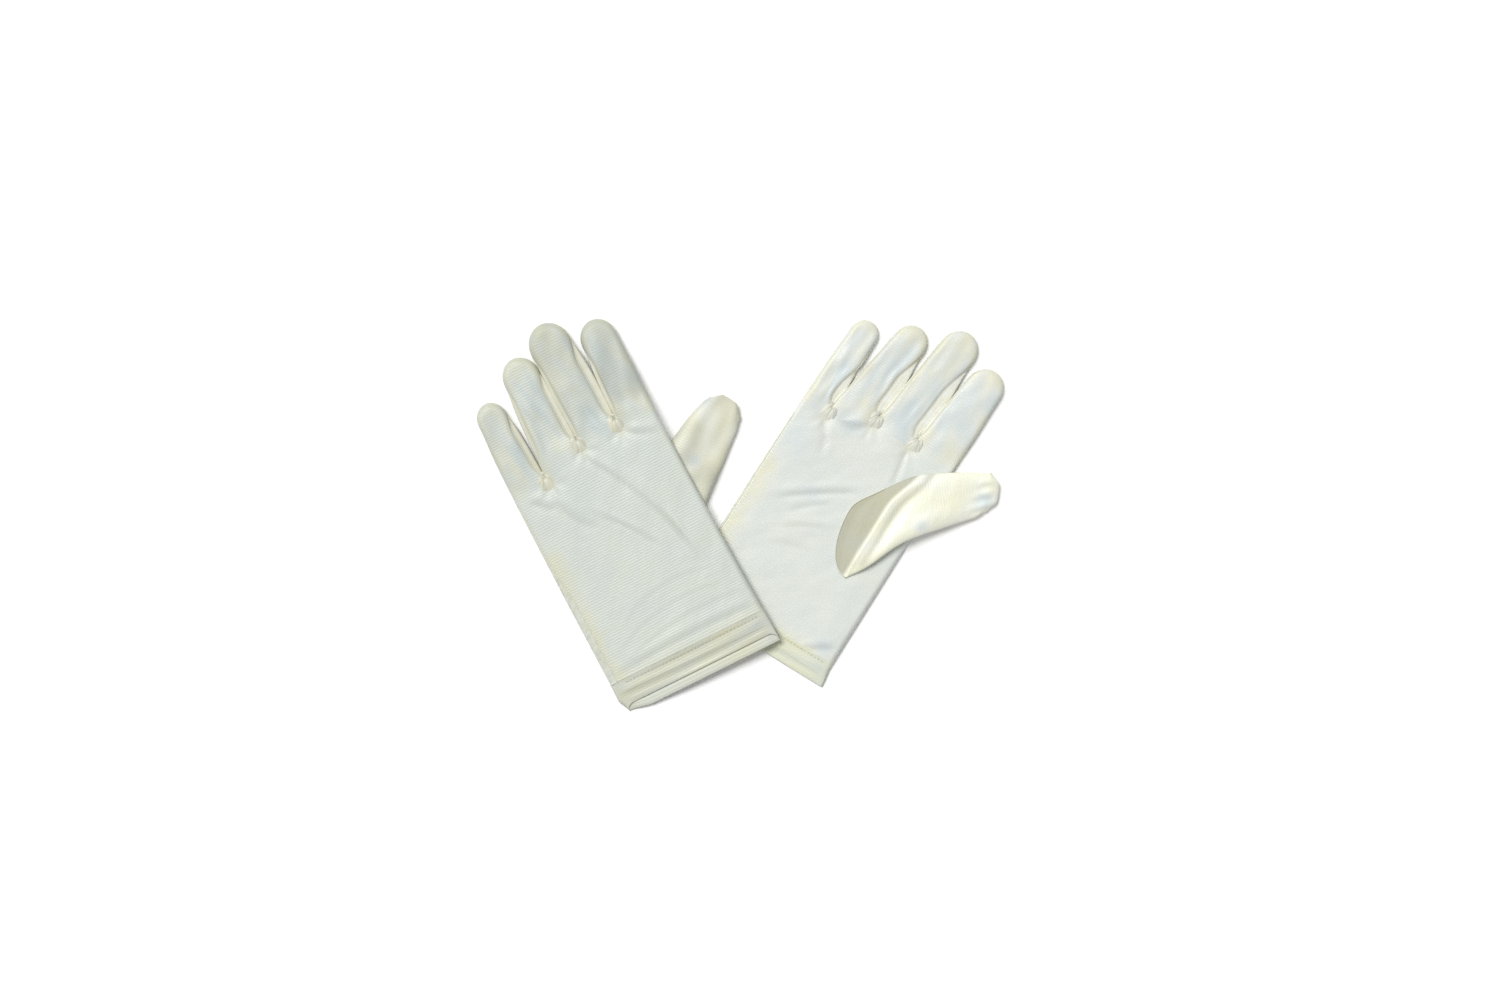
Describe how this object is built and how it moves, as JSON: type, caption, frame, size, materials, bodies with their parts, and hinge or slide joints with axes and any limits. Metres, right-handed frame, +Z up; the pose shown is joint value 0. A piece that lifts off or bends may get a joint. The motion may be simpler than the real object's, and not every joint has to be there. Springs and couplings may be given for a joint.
{
  "type": "satin dress gloves",
  "caption": "Pair of short satin dress gloves laid flat, left back up across the cuff of the right, palm up, with bending fingers and thumbs.",
  "frame": {"origin": "centre of the pair's bounding box, on the surface that the gloves lie on", "axes": "+X across the pair, from the left-hand glove's fingers to the right-hand glove's, +Y from the cuffs towards the fingertips, +Z up"},
  "size_m": [0.3123, 0.2357, 0.0152],
  "materials": {
    "satin": "ivory stretch satin, fine crosswise rib, soft sheen",
    "hem": "the same satin, folded double and stitched",
    "fourchette": "the same satin seen edge on, warmer ivory",
    "seam": "seam allowance, cream, stitched",
    "thumb": "the same satin on the bias, warmer sheen"
  },
  "bodies": {
    "right_hand": {"right_palm": "satin", "right_back": "satin", "right_cuff_hem": "hem", "right_side_seam": "seam"},
    "right_index": {"right_index_back": "satin", "right_index_fourchette_outward": "fourchette", "right_index_palm": "satin"},
    "right_middle": {"right_middle_back": "satin", "right_middle_fourchette_outward": "fourchette", "right_middle_fourchette_thumbward": "fourchette", "right_middle_palm": "satin"},
    "right_ring": {"right_ring_back": "satin", "right_ring_fourchette_outward": "fourchette", "right_ring_fourchette_thumbward": "fourchette", "right_ring_palm": "satin"},
    "right_little": {"right_little_back": "satin", "right_little_fourchette_thumbward": "fourchette", "right_little_palm": "satin"},
    "right_thumb": {"right_thumb_inner": "thumb", "right_thumb_outer": "thumb"},
    "left_hand": {"left_palm": "satin", "left_back": "satin", "left_cuff_hem": "hem", "left_side_seam": "seam"},
    "left_index": {"left_index_back": "satin", "left_index_fourchette_outward": "fourchette", "left_index_palm": "satin"},
    "left_middle": {"left_middle_back": "satin", "left_middle_fourchette_outward": "fourchette", "left_middle_fourchette_thumbward": "fourchette", "left_middle_palm": "satin"},
    "left_ring": {"left_ring_back": "satin", "left_ring_fourchette_outward": "fourchette", "left_ring_fourchette_thumbward": "fourchette", "left_ring_palm": "satin"},
    "left_little": {"left_little_back": "satin", "left_little_fourchette_thumbward": "fourchette", "left_little_palm": "satin"},
    "left_thumb": {"left_thumb_inner": "thumb", "left_thumb_outer": "thumb"}
  },
  "joints": [
    {"name": "left_glove_lift", "type": "slide", "parent": "right_hand", "child": "left_hand", "axis": [0, 0, 1], "range_m": [0, 0.06]},
    {"name": "right_index_bend", "type": "hinge", "parent": "right_hand", "child": "right_index", "pos_m": [0.11469, 0.03524, 0.0062], "axis": [0.8028, -0.5962, 0], "range_deg": [-15, 80]},
    {"name": "right_middle_bend", "type": "hinge", "parent": "right_hand", "child": "right_middle", "pos_m": [0.09217, 0.0492, 0.0062], "axis": [0.8151, -0.5793, 0], "range_deg": [-15, 80]},
    {"name": "right_ring_bend", "type": "hinge", "parent": "right_hand", "child": "right_ring", "pos_m": [0.06929, 0.06221, 0.0062], "axis": [0.807, -0.5906, 0], "range_deg": [-15, 80]},
    {"name": "right_little_bend", "type": "hinge", "parent": "right_hand", "child": "right_little", "pos_m": [0.0461, 0.06542, 0.0062], "axis": [0.8251, -0.565, 0], "range_deg": [-15, 80]},
    {"name": "right_thumb_swing", "type": "hinge", "parent": "right_hand", "child": "right_thumb", "pos_m": [0.06669, 0.00147, 0.0062], "axis": [-0.527, -0.8499, 0], "range_deg": [0, 90]},
    {"name": "left_index_bend", "type": "hinge", "parent": "left_hand", "child": "left_index", "pos_m": [-0.06002, 0.05996, 0.00713], "axis": [-0.8972, -0.4376, -0.0599], "range_deg": [-15, 80]},
    {"name": "left_middle_bend", "type": "hinge", "parent": "left_hand", "child": "left_middle", "pos_m": [-0.08367, 0.04811, 0.00554], "axis": [-0.898, -0.436, -0.0599], "range_deg": [-15, 80]},
    {"name": "left_ring_bend", "type": "hinge", "parent": "left_hand", "child": "left_ring", "pos_m": [-0.1067, 0.03546, 0.00396], "axis": [-0.904, -0.4234, -0.0599], "range_deg": [-15, 80]},
    {"name": "left_little_bend", "type": "hinge", "parent": "left_hand", "child": "left_little", "pos_m": [-0.12494, 0.0157, 0.00246], "axis": [-0.8886, -0.4547, -0.0599], "range_deg": [-15, 80]},
    {"name": "left_thumb_swing", "type": "hinge", "parent": "left_hand", "child": "left_thumb", "pos_m": [-0.05637, 0.00139, 0.00575], "axis": [-0.4478, 0.8942, 0], "range_deg": [0, 90]}
  ]
}
